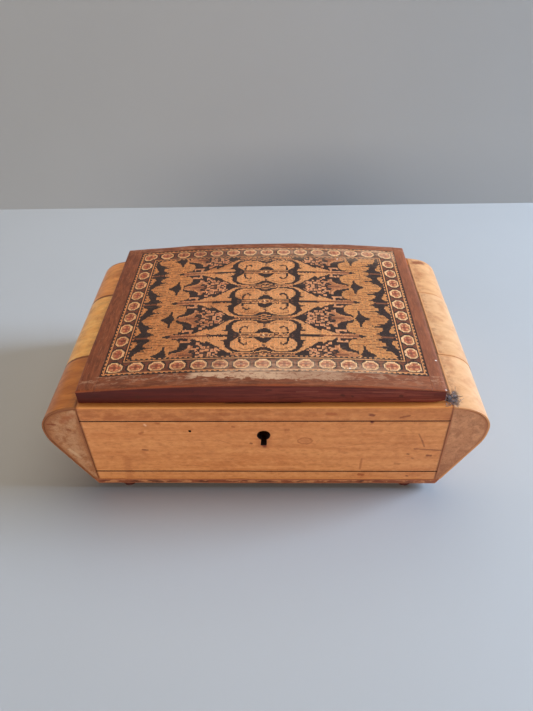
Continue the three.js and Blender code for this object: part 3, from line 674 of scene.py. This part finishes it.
def field_pattern(u, v):
    """Wood numbers of the field. u and v count tesserae from its centre.

    The pattern is mirrored about its middle and about each row, so one quarter cell is drawn:
    a from the middle outwards, h from a row's axis to half-way to the next row."""
    a = np.abs(u)
    h = np.abs((v + REPEAT / 2) % REPEAT - REPEAT / 2)
    wood_at = np.zeros(a.shape, int)

    def paint(shape, name):
        wood_at[shape] = WOOD_NAMES.index(name)

    def lines(name, width, *paths):
        for points in paths:
            paint(off_line(points, a, h) < width / 2, name)

    def area(name, points):
        paint(inside(points, a, h), name)

    def blocks(name, places):
        for middle_a, middle_h, half_a, half_h in places:
            paint((np.abs(a - middle_a) < half_a) & (np.abs(h - middle_h) < half_h), name)

    def oval(name, half_a, half_h):
        """An oval half-way between the rows, in the middle."""
        paint((a / half_a) ** 2 + ((h - REPEAT / 2) / half_h) ** 2 < 1, name)

    # acanthus leaves, the dark cross between them and the teeth beyond them
    area("gold", [
        (93, -1), (92, 2.2), (87.6, 3.6), (91, 5), (94.4, 7.6), (94.8, 11), (89.4, 12.6), (94, 14.6),
        (98.6, 18), (102.4, 24), (71.6, 24), (73.4, 19), (70.4, 17.4), (67, 15.8), (66, 12.4), (66, 8.4),
        (67.6, 5.6), (70.4, 4), (73, 2.4), (76, -1)])
    lines("vein", 1.0, [(86, 1.4), (92, 1.6)], [(78, 7), (88, 5.6)], [(69, 10.6), (80, 10.2), (92, 9)],
          [(83, 15), (92, 16)], [(87, 19), (98, 20.6)], [(70, 14.6), (74, 13)], [(73, 5), (84, 3.6)])
    lines("black", 1.1, [(98, 2.6), (89, 3.4)], [(97, 13), (87.6, 12.8)], [(99, 16.8), (93, 16.2)],
          [(97.4, 7.6), (92.4, 6.4)], [(60, 4), (72.4, 3.5)], [(66, 17.6), (71.6, 18.6)])
    area("black", [(77, 12.4), (78.8, 12.4), (79.6, 17.2), (82.4, 20.2), (88.6, 24), (73.6, 24), (75.4, 20.4),
                   (76.6, 17)])
    area("gold", [(105, 3.8), (101, 4.6), (99.8, 7.6), (101.4, 10.4), (102.6, 14), (105, 16.6)])
    lines("brown", 2.0, [(94, 0), (105, 0)])

    # side leaves on the black ground, and the hooks beside the spike
    area("petal", [(73, 24), (71, 20.4), (66, 19.2), (61.4, 17.2), (59, 14.6), (57.2, 11.2), (55.4, 12),
                   (54.8, 15), (57, 18.4), (58.2, 20.2), (55, 21.2), (54, 24)])
    lines("tan", 0.9, [(71, 21), (62, 19), (58, 15)])
    lines("brown", 2.4, [(54.6, 23), (63.6, 23)])
    blocks("salmon", [(61.4, 7.2, 4.2, 1.0), (58.6, 5.4, 1.1, 2.8), (65, 6.0, 0.9, 0.9)])

    # the spike along each row's axis
    lines("petal", 5.2, [(58, 0), (75, 0)])
    lines("brown", 1.8, [(58, 0), (76, 0)])
    lines("salmon", 0.8, [(60, 1.9), (70, 1.9)])
    area("black", [(74.8, -1), (75, 1), (77, 2.4), (78.6, 1.2), (81, 0.4), (81, -1)])

    # fans
    area("tan", [
        (59.6, -1), (59.4, 1.8), (57, 2.8), (53.6, 5), (50, 6.4), (46.4, 9.2), (45, 6.4), (42, 8.4),
        (38, 11.8), (34.6, 14.8), (31, 18), (27.6, 20.2), (24.2, 21.6), (23.6, 20.4), (26.4, 18.2),
        (28.6, 15.6), (30.4, 13), (30.4, 8), (33.8, 6.2), (28.6, 4.8), (28.2, -1)])
    lines("black", 2.9, [(28, 0), (45.6, 0)])
    lines("brown", 1.7, [(45, 0), (60, 0)])
    lines("salmon", 1.0, [(37, 15.2), (33.4, 18.6)])

    # paired scrolls
    area("tan", [
        (25.4, 8), (26, 12.6), (24.6, 15.8), (22, 18), (16.6, 19.6), (10.6, 19.6), (6.6, 18), (4, 15.6),
        (2, 15), (0, 15), (0, 9.8), (1.2, 9.4), (3.8, 7.6), (5.8, 5.4), (6.8, 3.2), (17.4, 3.2), (20.6, 3.2),
        (23, 5.4)])
    lines("black", 1.5, [(19, 2.4), (18.8, 7), (17.8, 10), (15.4, 11.4), (13.2, 10.8), (13.2, 9.4)])
    lines("vein", 1.0, [(5.6, 14), (8.4, 16.6), (14, 17.2), (19, 15.6)])
    lines("mud", 1.2, [(0, 11), (0, 15)])
    lines("tan", 1.2, [(4, 1.5), (19.4, 1.5)])
    lines("brown", 1.3, [(3, 0), (19, 0)])
    blocks("mud", [(1, 18, 1.4, 0.8), (22.6, 1.4, 0.8, 0.8)])

    # diamond on the axis between the scrolls
    paint((a < 4.4) & (h < 3.0) & (a + h < 5.6), "tan")
    blocks("brown", [(0, 0, 2.6, 1.7)])
    blocks("pale", [(0, 0, 0.9, 0.9)])

    # interlaced lines between the rows
    lines("tan", 1.0, [(27, 20), (20, 21.2), (12, 21.4), (6, 20.8), (0, 18.8)])
    lines("petal", 0.9, [(24, 22.4), (14, 22.9), (3, 22.9)])
    oval("tan", 3.2, 1.8)
    oval("brown", 1.6, 0.9)

    # posies built of square blocks
    blocks("salmon", [
        (51.4, 9.6, 1.7, 1.5), (49, 11.8, 1.1, 1.0), (46.6, 14.2, 1.8, 1.6), (57.8, 13.2, 1.1, 1.9),
        (54, 16, 1.7, 1.1), (52.2, 17.6, 1.0, 1.0), (50.6, 14.6, 1.1, 1.1), (47.4, 18.4, 1.7, 1.5),
        (43.6, 17.4, 1.8, 1.4), (38.6, 18, 2.4, 2.0), (35.6, 20.8, 1.0, 1.4), (50.6, 20.8, 1.6, 1.4),
        (41.2, 21.4, 1.6, 1.4), (47.6, 22.6, 1.5, 0.9), (37.6, 22.6, 1.0, 0.8), (42.4, 13.6, 1.1, 1.0)])
    blocks("red", [(38.6, 18, 0.7, 0.7), (46.4, 14.6, 0.6, 0.6)])
    blocks("mud", [(44.4, 22, 1.0, 1.5), (53.6, 19.6, 1.0, 0.9), (40.4, 15.8, 0.9, 0.8)])
    return wood_at


def border_pattern(along, across):
    """Wood numbers of the border. across counts tesserae outwards from the field, 0 to 18."""
    x = (along + ROUNDEL / 2) % ROUNDEL - ROUNDEL / 2
    ax, ay = np.abs(x), np.abs(across - 9.4)
    size = np.maximum(np.maximum(ax / 6.2, ay / 4.9), (ax + ay) / 8.0)
    tooth = np.floor(along / 2) % 2 == 0
    row = np.floor(across)
    wood_at = np.full(along.shape, WOOD_NAMES.index("plum"))
    for where, name in (
        (row <= 1, "black"), ((row == 0) & tooth, "tan"), (row == 2, "tan"), (row == 3, "black"),
        (size < 1.2, "black"), (size < 1.0, "pale"), (size < 0.76, "petal"),
        ((size < 0.62) & ((ax < 2.4) | (ay < 1.4)), "red"),
        ((ax > 1.4) & (ax < 2.6) & (ay > 1.0) & (ay < 2.2), "salmon"), ((ax < 0.8) & (ay < 0.9), "brown"),
        (row == 15, "tan"), (row >= 16, "black"), ((row == 16) & tooth, "tan"),
    ):
        wood_at[where] = WOOD_NAMES.index(name)
    return wood_at


def tessera_colours(wood_at, seed):
    """A linear colour for every tessera, each a little different from its neighbours."""
    rng = np.random.default_rng(seed)
    base = np.array([WOODS[name] for name in WOOD_NAMES], float)[wood_at]
    strip = rng.normal(0, 0.03, (wood_at.shape[0], 1))
    single = rng.normal(0, 0.05, wood_at.shape)
    base *= (1 + strip + single)[..., None]
    is_black = wood_at == WOOD_NAMES.index("black")
    base += np.abs(rng.normal(0, 9, wood_at.shape))[..., None] * is_black[..., None]
    base *= 1 + rng.normal(0, 0.025, wood_at.shape)[..., None] * np.array([1, 0, -1.5])
    dull = rng.random(wood_at.shape) < 0.02
    base[dull] *= 0.6
    base = np.clip(base, 8, 250) / 255
    return ((base + 0.055) / 1.055) ** 2.4


def lid_dome():
    """Height of the lid's top at any x, from the frame."""
    low, high = corners("lid_board")
    middle, half = (low[0] + high[0]) / 2, (high[0] - low[0]) / 2
    edge = corners("margin_left")[0][2] + TOP_T
    crown = corners("mosaic_field")[1][2]
    return lambda x: edge + (crown - edge) * (1 - ((x - middle) / half) ** 2)


DOME = lid_dome()
MOSAIC_REAR = corners("mosaic_border_rear")[1][1]
FIELD_LOW, FIELD_HIGH = corners("mosaic_field")
FIELD_MIDDLE = (FIELD_LOW + FIELD_HIGH) / 2


def mosaic_wood():
    """Polished end-grain tesserae, with their joints, old varnish and rubbed places."""
    paint = Paint("mosaic_wood")
    paint.colour = paint.attribute("tessera", "Color")
    joints = []
    for name, origin in (("X", FIELD_LOW[0]), ("Y", FIELD_LOW[1])):
        share = paint.maths("DIVIDE", paint.maths("SUBTRACT", paint.axis(name), origin), TESSERA)
        off_middle = paint.maths("SUBTRACT", paint.maths("FRACT", share), 0.5)
        joints.append(paint.between(paint.maths("ABSOLUTE", off_middle), 0.36, 0.5))
    seam = paint.maths("MAXIMUM", joints[0], paint.times(joints[1], 0.45))
    paint.over(paint.times(seam, 0.46), (96, 54, 34))
    pores = paint.noise(0.3, 3, 2, 0.6)
    paint.over(paint.between(pores, 0.55, 0.7, 0.0, 0.15), (80, 46, 28))
    varnish = paint.noise((28, 18, 18), 5, 4, 0.6, 0.5)
    x, y = paint.axis("X"), paint.axis("Y")
    for share, tint in ((paint.between(varnish, 0.48, 0.72, 0.0, 0.8), (0.6, 0.46, 0.36)),
                        (paint.between(x, 20, -80), (0.88, 0.76, 0.66))):
        paint.colour = paint.blend(share, paint.colour, tint, "MULTIPLY")
    rubbed = paint.noise((9, 2.6, 4), 11, 5, 0.7)
    front = paint.between(y, MOSAIC_EDGE + 14, MOSAIC_EDGE)
    front = paint.times(front, paint.times(paint.between(x, -40, -8), paint.between(x, 70, 46)))
    rear = paint.times(paint.between(y, MOSAIC_REAR - 22, MOSAIC_REAR), paint.between(x, -60, 40))
    bleach = paint.maths("MAXIMUM", front, paint.times(rear, 0.8))
    bleach = paint.times(bleach, paint.between(rubbed, 0.36, 0.62, 0.05, 0.7))
    paint.over(bleach, (216, 172, 138))
    paint.over(paint.between(rubbed, 0.6, 0.72, 0.0, 0.2), (196, 146, 108))
    paint_specks(paint)
    gloss = paint.maths("ADD", paint.times(varnish, 0.35), 0.26)
    return paint.finish(gloss, paint.bump(varnish, 0.15, paint.bump(seam, -0.04)), specular=0.35)


MOSAIC_WOOD = mosaic_wood()


def mosaic(node, pattern, seed):
    """A sheet of tesserae over a CAD node, following the dome of the lid."""
    low, high = corners(node)
    nx, ny = (max(1, round((high[i] - low[i]) / TESSERA)) for i in (0, 1))
    xs, ys = np.linspace(low[0], high[0], nx + 1), np.linspace(low[1], high[1], ny + 1)
    verts, quads = lattice(xs, ys, (0, TOP_T))
    middle_x, middle_y = np.meshgrid((xs[1:] + xs[:-1]) / 2, (ys[1:] + ys[:-1]) / 2, indexing="ij")
    tints = tessera_colours(pattern(middle_x, middle_y), seed)
    all_tints = np.tile((0.09, 0.045, 0.025), (len(quads), 1))  # the sides are plain dark wood
    all_tints[-nx * ny:] = tints.reshape(-1, 3)
    rng = np.random.default_rng(seed + 50)
    top = verts[:, 2] > TOP_T / 2
    wobble = rng.uniform(-0.03, 0, len(verts)) + 0.05 * ripple(verts, 30, seed) - 0.05
    verts[:, 2] += DOME(verts[:, 0]) - TOP_T + np.where(top, wobble, 0)
    piece = make(node + "_tesserae", verts, quads, MOSAIC_WOOD, "lid", "mosaic", node)
    layer = piece.data.color_attributes.new("tessera", "FLOAT_COLOR", "CORNER")
    rgba = np.ones((len(quads) * 4, 4), np.float32)
    rgba[:, :3] = np.repeat(all_tints, 4, axis=0)
    layer.data.foreach_set("color", rgba.ravel())


def drift(x, y, seed):
    """A slow wander of the sawn strips, in tesserae."""
    points = np.stack([x.ravel(), y.ravel(), np.zeros(x.size)], 1)
    return ripple(points, 60, seed).reshape(x.shape) * 0.9


def field_at(x, y):
    slips = np.random.default_rng(5).normal(0, 0.14, (2, *x.shape))  # no two tesserae sit quite true
    u = (x - FIELD_MIDDLE[0]) / TESSERA + drift(x, y * 0, 3) * 0.6 + slips[0]
    v = (y - FIELD_MIDDLE[1]) / TESSERA + drift(x, y, 4) * 0.8 + slips[1]
    return field_pattern(u, v)


def border_at(x, y):
    """The border runs square at the corners, the front and rear strips going right across."""
    u = (x - FIELD_MIDDLE[0]) / TESSERA
    v = (y - FIELD_MIDDLE[1]) / TESSERA
    half_u, half_v, _ = (FIELD_HIGH - FIELD_LOW) / 2 / TESSERA
    out_u, out_v = np.abs(u) - half_u, np.abs(v) - half_v
    sideways = out_u > out_v
    return border_pattern(np.where(sideways, v, u), np.where(sideways, out_u, out_v))


# ---- lid ----
LID_LOW, LID_HIGH = corners("lid_board")


def lid_edge_wear(verts):
    """How far the lid's outer top edge is rubbed down at each point."""
    gap = np.minimum(verts - LID_LOW, LID_HIGH - verts)[:, :2].min(axis=1)
    return np.exp(-np.clip(gap, 0, None) / 0.8) * (0.6 + 0.3 * ripple(verts, 22, 77))


def margin(name, seed):
    low, high = corners(name)
    low[2], high[2] = 0, TOP_T
    verts, quads, _ = board(low, high, 0.9, 0.1, 0.03, 0.1, seed)
    rubbed = lid_edge_wear(verts) * verts[:, 2] / TOP_T
    verts[:, 2] += DOME(verts[:, 0]) - TOP_T - rubbed
    material = MARGIN_WOODS["Y" if "left" in name or "right" in name else "X"]
    make(name + "_crossbanding", verts, quads, material, "lid", "margin_veneer", name,
         np.clip(rubbed * 1.1, 0, 1))


def lid_board():
    """The lid's board, made flat and then stretched up to the dome; its front right corner is worn."""
    flat_t = 10
    low, high = LID_LOW.copy(), LID_HIGH.copy()
    high[2] = low[2] + flat_t
    verts, quads, wear = board(low, high, 1.2, 0.35, 0.05, 0.3, 50)
    share = (verts[:, 2] - low[2]) / flat_t
    under = DOME(verts[:, 0]) - TOP_T - 0.05
    worn_corner = np.clip((verts[:, 0] - (high[0] - 7)) / 7, 0, 1) ** 2
    worn_corner *= np.clip((low[1] + 9 - verts[:, 1]) / 9, 0, 1)
    verts[:, 2] = low[2] + share * (under - low[2]) + 1.3 * worn_corner * (1 - share)
    piece = make("lid_board_worn", verts, quads, LID_WOOD, "lid", "lid_wood", "lid_board", wear * 0.6)
    leaves = [f"{hand}_hinge_upper_leaf" for hand in ("left", "right")]
    screws = [f"{hand}_upper_screw_{i}" for hand in ("left", "right") for i in (1, 2)]
    without(piece, recess_cutter(LID_WOOD, 0.04, "link_plate", *leaves),
            recess_cutter(LID_WOOD, 0.02, *screws))


SIDES = ("front", "rear", "left", "right")
mosaic("mosaic_field", field_at, 21)
for i, side in enumerate(SIDES):
    mosaic(f"mosaic_border_{side}", border_at, 31 + i)
for i, side in enumerate(SIDES):
    margin(f"margin_{side}", 40 + i)
lid_board()


# ---- case ----
def into_front(verts, x, z):
    """Turn a lathe form from the z axis to point into the front at x and z."""
    return np.stack([x + verts[:, 0], FRONT + verts[:, 2], z - verts[:, 1]], 1)


def keyhole_cutters():
    """The round of the keyhole with a chamfered mouth, and the ragged slot below it; both are walled in wood
    painted near-black as shade.
    """
    x, z = KEYHOLE
    mouth = [(0, -3), (3.6, -3), (3.4, -0.02), (3.2, 0.4), (3.1, 1.0), (3.1, 9.6), (0, 9.6)]
    verts, faces = turned(mouth, 40)
    verts[:, :2] *= 1 + 0.05 * ripple(verts * (1, 1, 0), 4, 8)[:, None]
    around = cutter(into_front(verts, x, z), faces, HOLE_SHADE_WOOD)
    verts, quads = lattice((x - 1.3, x + 1.3), (FRONT - 1, FRONT + 0.6, FRONT + 9.6),
                           np.linspace(z - 7.2, z, 9))
    flare = np.clip((FRONT + 0.6 - verts[:, 1]) / 1.6, 0, 1)
    verts[:, 0] += 0.3 * ripple(verts * (0.2, 0, 1), 3, 9) + np.sign(verts[:, 0] - x) * 0.5 * flare
    verts[:, 2] -= 0.6 * flare * (verts[:, 2] < z - 7)
    return [around, cutter(verts, quads, HOLE_SHADE_WOOD)]


def front_panel():
    low, high = corners("front_panel")
    verts, quads, wear = board(low, high, 0.8, 0.35, 0.05, 0.25, 60)
    wear = np.where(np.abs(verts[:, 0]) > INNER - 1.2, 0, wear)
    panel = make("front_panel_board", verts, quads, PANEL_WOOD, "case", "panel_wood", "front_panel", wear)
    grooves = recess_cutter(LINE_WOOD, 0.02, "front_upper_line", "front_lower_line")
    lock_low, lock_high = corners("lock_case")
    mortise = block_cutter(CASE_WOOD, (lock_low - 0.1, lock_high + (0.1, 3, 1)))
    verts, faces = turned([(0, -1), (0.75, -1), (0.7, 3), (0, 3.4)], 14)
    # the nail hole's walls take the same near-black painted shade
    nail_hole = cutter(into_front(verts, *NAIL), faces, HOLE_SHADE_WOOD)
    without(panel, *keyhole_cutters(), nail_hole, mortise, grooves)


def inlaid_line(node):
    """A thin strip let into the front; it swells and narrows a little along its length."""
    low, high = corners(node)
    verts, quads, wear = board(low, high, 0.8, 0.03, 0, 0, 68)
    middle = (low[2] + high[2]) / 2
    verts[:, 2] = middle + (verts[:, 2] - middle) * (0.93 + 0.07 * ripple(verts * (1, 0, 0), 16, 3))
    make(node + "_strip", verts, quads, LINE_WOOD, "case", "dark_line", node, wear)


END_SLOPE = 17 / 33  # how far the undersides of the ends go in for each millimetre down


def base_board():
    low, high = corners("base_board")
    verts, quads, wear = board(low, high, 1.5, 0.5, 0.15, 0.25, 71)
    verts[:, 0] *= 1 - END_SLOPE * (high[2] - verts[:, 2]) / high[0]
    make("base_board_board", verts, quads, BASE_WOOD, "case", "base_wood", "base_board", wear)


front_panel()
inlaid_line("front_upper_line")
inlaid_line("front_lower_line")
base_board()

# ---- wedge ends ----
VENEER_T = 1.0
CORE_T = 15.0  # depth of a core as it is made, before it is fitted between the skin and the case
NOSE_DROP = 15  # from the rim down to the outermost point of the nose
KNEE_OUT, KNEE_DROP = 17, 27  # where the round nose meets the straight underside
BLOCK_LOW = corners("right_front_block")[0]
SKIN_LOW, SKIN_HIGH = corners("right_front_veneer")


def bezier(a, b, c, d, count):
    t = np.linspace(0, 1, count)[:, None]
    a, b, c, d = (np.array(point, float) for point in (a, b, c, d))
    return a * (1 - t) ** 3 + 3 * b * t * (1 - t) ** 2 + 3 * c * t * t * (1 - t) + d * t ** 3


def end_outline():
    """The right-hand wedge end from the rim round the nose to the base, at even steps."""
    nose, foot = SKIN_HIGH[0], BLOCK_LOW[2]
    nose_z = RIM - NOSE_DROP
    knee_x, knee_z = INNER + KNEE_OUT, RIM - KNEE_DROP
    path = np.concatenate([
        [(INNER + 0.05, RIM), (INNER + 3, RIM - 0.45)],
        bezier((INNER + 6, RIM - 1), (INNER + 13.5, RIM - 2.35), (nose, RIM - 8), (nose, nose_z), 30),
        bezier((nose, nose_z), (nose, nose_z - 4.5), (knee_x + 4 * END_SLOPE, knee_z + 4),
               (knee_x, knee_z), 16)[1:],
        [(knee_x - (knee_z - foot) * END_SLOPE, foot)],
    ])
    run = np.concatenate([[0], np.cumsum(np.linalg.norm(np.diff(path, axis=0), axis=1))])
    even = np.linspace(0, run[-1], 400)
    points = np.stack([np.interp(even, run, path[:, i]) for i in (0, 1)], 1)
    way = np.gradient(points, axis=0)
    way /= np.linalg.norm(way, axis=1, keepdims=True)
    inward = np.stack([way[:, 1], -way[:, 0]], 1)
    inward[0], inward[-1] = (0, -1), (-1, 0)
    return even, points, inward


RUN, OUTLINE, INWARD = end_outline()


def on_outline(s, depth):
    """x and z of the point at length s along the outline, that deep inside it."""
    return [np.interp(s, RUN, OUTLINE[:, i]) + np.interp(s, RUN, INWARD[:, i]) * depth for i in (0, 1)]


def end_piece(name, side, shift, x, y, z, quads, *rest):
    """A piece of the right-hand end at x, y and z, or its mirror image if the side is -1."""
    faces = quads if side < 0 else quads[:, ::-1]
    make(name, np.stack([side * x + shift, y, z], 1), faces, *rest)


def end_skin(node, side, body, seed):
    low, high = corners(node)
    verts, quads, wear = board((0, low[1], 0), (RUN[-1], high[1], VENEER_T), 1.1, 0.22, 0.04, 0.15, seed)
    shift = low[0] - SKIN_LOW[0] if side > 0 else 0
    x, z = on_outline(verts[:, 0], VENEER_T - verts[:, 2])
    material = END_SKINS[node.removesuffix("_veneer")]
    end_piece(node + "_skin", side, shift, x, verts[:, 1], z, quads, material, body, "end_veneer", node, wear)


def end_core(node, side, body, seed):
    """Solid wood under the skin; its ends show end grain."""
    low, high = corners(node)
    if node == "left_middle_block":
        low[1], high[1] = (corners("left_middle_veneer")[i][1] for i in (0, 1))
    verts, quads, wear = board((0, low[1], 0), (RUN[-1], high[1], CORE_T), 1.0, 0.25, 0.08, 0.25, seed)
    share = verts[:, 2] / CORE_T
    x, z = on_outline(verts[:, 0], VENEER_T + 0.05)
    inner = INNER + 0.05
    back_z = RIM - VENEER_T - (RIM - VENEER_T - low[2]) * verts[:, 0] / RUN[-1]
    shift = low[0] - BLOCK_LOW[0] if side > 0 else 0
    wide_wear = np.exp(-np.clip(CORE_T - verts[:, 2], 0, None) / 1.6)
    end_piece(node + "_core", side, shift, inner + (x - inner) * share, verts[:, 1],
              back_z + (z - back_z) * share, quads, LEFT_FACE if side < 0 else END_WOOD, body,
              "end_wood", node, np.maximum(wear, wide_wear * 0.8))


for hand, side, mover in (("left", -1, "left_slide"), ("right", 1, "secret_drawer")):
    for i, place in enumerate(("front", "middle", "rear")):
        body = mover if place == "middle" else "case"
        end_skin(f"{hand}_{place}_veneer", side, body, 80 + i + side)
        end_core(f"{hand}_{place}_block", side, body, 90 + i + side)

# ---- what keeps its CAD shape ----
PINS = [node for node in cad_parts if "hinge_pin" in node]
FITTINGS = [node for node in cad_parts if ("hinge" in node or "screw" in node) and node not in PINS]
KEPT = [
    (PANEL_WOOD, "back_panel"),
    (CASE_WOOD, "left_end_wall", "right_end_wall", "false_floor", "drawer_guide_front", "drawer_guide_rear"),
    (LINING, "floor_lining"),
    (DRAWER_WOOD, "drawer_side_front", "drawer_side_rear", "drawer_back", "drawer_bottom"),
    # the lock's brass is painted dark as shade
    (LOCK_BRASS_SHADED, "lock_case", "lock_cap"),
    (STEEL, "lock_bolt", "key", *PINS),
    (BRASS, "link_plate", *FITTINGS),
]


def soften(piece, radius):
    """Join a CAD piece's split corners and round its edges."""
    weld = piece.modifiers.new("weld", "WELD")
    weld.merge_threshold = 0.01 * MM
    bevel = piece.modifiers.new("bevel", "BEVEL")
    bevel.width = radius * MM
    bevel.segments = 2
    bevel.limit_method = "ANGLE"
    bevel.angle_limit = math.radians(35)
    bevel.harden_normals = True


for material, *nodes in KEPT:
    for node in nodes:
        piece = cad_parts[node]
        piece.data.materials.clear()
        piece.data.materials.append(material)
        soften(piece, 0.12 if material in (BRASS, LOCK_BRASS_SHADED, STEEL) else 0.3)


# ---- feet ----
def foot(node):
    low, high = corners(node)
    middle = (low + high) / 2
    wide = high[0] - middle[0]
    side = np.concatenate([
        bezier((0.72 * wide, 0), (0.92 * wide, 0.1), (wide, 0.9), (wide, 2.0), 7),
        bezier((wide, 2.0), (wide, 2.9), (0.86 * wide, 3.1), (0.82 * wide, high[2]), 7)[1:],
    ])
    verts, faces = turned([(0, 0), *map(tuple, side), (0, high[2])], 40)
    verts += (middle[0], middle[1], 0)
    # the feet wear wood painted darker as shade
    make(node + "_turned", verts, faces, FOOT_WOOD_SHADED, "case", "base_wood", node, np.zeros(len(verts)))


for place in ("front", "rear"):
    for hand in ("left", "right"):
        foot(f"foot_{place}_{hand}")


# ---- lint caught at the lid's front corner ----
def thread(path, radius):
    """A closed thread of three sides along a path."""
    verts = []
    for i, point in enumerate(path):
        ahead = path[min(i + 1, len(path) - 1)] - path[max(i - 1, 0)]
        side = np.cross(ahead, (0.3, 0.2, 1.0))
        side /= np.linalg.norm(side)
        other = np.cross(ahead, side)
        other /= np.linalg.norm(other)
        for turn in range(3):
            angle = 2 * math.pi * turn / 3
            verts.append(point + radius * (math.cos(angle) * side + math.sin(angle) * other))
    last = 3 * (len(path) - 1)
    return verts, [*tube(len(path), 3), (2, 1, 0), (last, last + 1, last + 2)]


def lint_tuft(threads):
    """A tuft of short threads that lies on the case and stays behind its front."""
    rng = np.random.default_rng(90)
    base = np.array([LID_HIGH[0] + 3.4, LID_LOW[1] + 2.0, RIM + 0.5])
    verts, faces = [], []
    for _ in range(threads):
        start = base + rng.normal(0, 1, 3) * (1.5, 2.2, 0.35)
        way = rng.normal(0, 1, 3) * (1.0, 1.0, 0.55)
        way /= np.linalg.norm(way)
        bend = rng.normal(0, 0.5, 3) * (1, 1, 0.6)
        reach = rng.uniform(1.2, 3.4)
        path = [start + way * reach * t + bend * t * t for t in np.linspace(0, 1, 6)]
        path = [np.array([p[0], max(p[1], FRONT + 0.3), max(p[2], RIM - 0.4)]) for p in path]
        some_verts, some_faces = thread(path, rng.uniform(0.05, 0.11))
        faces += [tuple(i + len(verts) for i in face) for face in some_faces]
        verts += some_verts
    piece = shape("lint_tuft", verts, faces, LINT)
    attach(piece, "case")


lint_tuft(170)

# ---- room ----
TABLE_END = 270  # millimetres behind the box's middle
WIDE, TALL = 3000, 2000


def add_sheet(name, points, rgb):
    paint = Paint(name)
    cloud = paint.noise(180, 2, 3, 0.5)
    colour = srgb(*rgb)
    paint.colour = paint.blend(paint.between(cloud, 0.3, 0.7), colour, tuple(c * 0.97 for c in colour))
    sheet = shape(name, points, [(0, 1, 2, 3)], paint.finish(0.55, specular=0.3))
    return sheet


add_sheet("floor", [(-WIDE, -WIDE, 0), (WIDE, -WIDE, 0), (WIDE, TABLE_END, 0), (-WIDE, TABLE_END, 0)],
          (180, 182, 186))
wall = add_sheet("wall", [(-WIDE, TABLE_END, 0), (WIDE, TABLE_END, 0), (WIDE, TABLE_END, TALL),
                          (-WIDE, TABLE_END, TALL)], (184, 188, 192))
wall.visible_shadow = False  # the light above stands behind it


def add_light(name, place, target, size, power, colour):
    data = bpy.data.lights.new(name, "AREA")
    data.shape = "RECTANGLE"
    data.size, data.size_y = size
    data.energy = power
    data.color = colour
    light = put(name, data)
    light.location = place
    light.rotation_mode = "QUATERNION"
    light.rotation_quaternion = (Vector(target) - Vector(place)).to_track_quat("-Z", "Y")


add_light("window", (1.7, 0.18, 0.86), (0, 0, 0.03), (0.7, 0.75), 58, (0.6, 0.78, 1.0))
add_light("above", (0.05, 0.42, 1.0), (0, 0, 0), (1.3, 0.9), 7.8, (1.0, 0.86, 0.64))
add_light("room", (-0.35, -1.6, 0.4), (0, 0, 0.03), (1.8, 0.6), 14.5, (1.0, 0.84, 0.68))
world = bpy.data.worlds.new("world")
world.use_nodes = True
background = world.node_tree.nodes["Background"]
background.inputs["Color"].default_value = (1.0, 0.95, 0.88, 1)
background.inputs["Strength"].default_value = 0.07
bpy.context.scene.world = world
bpy.context.scene.view_settings.view_transform = "Standard"
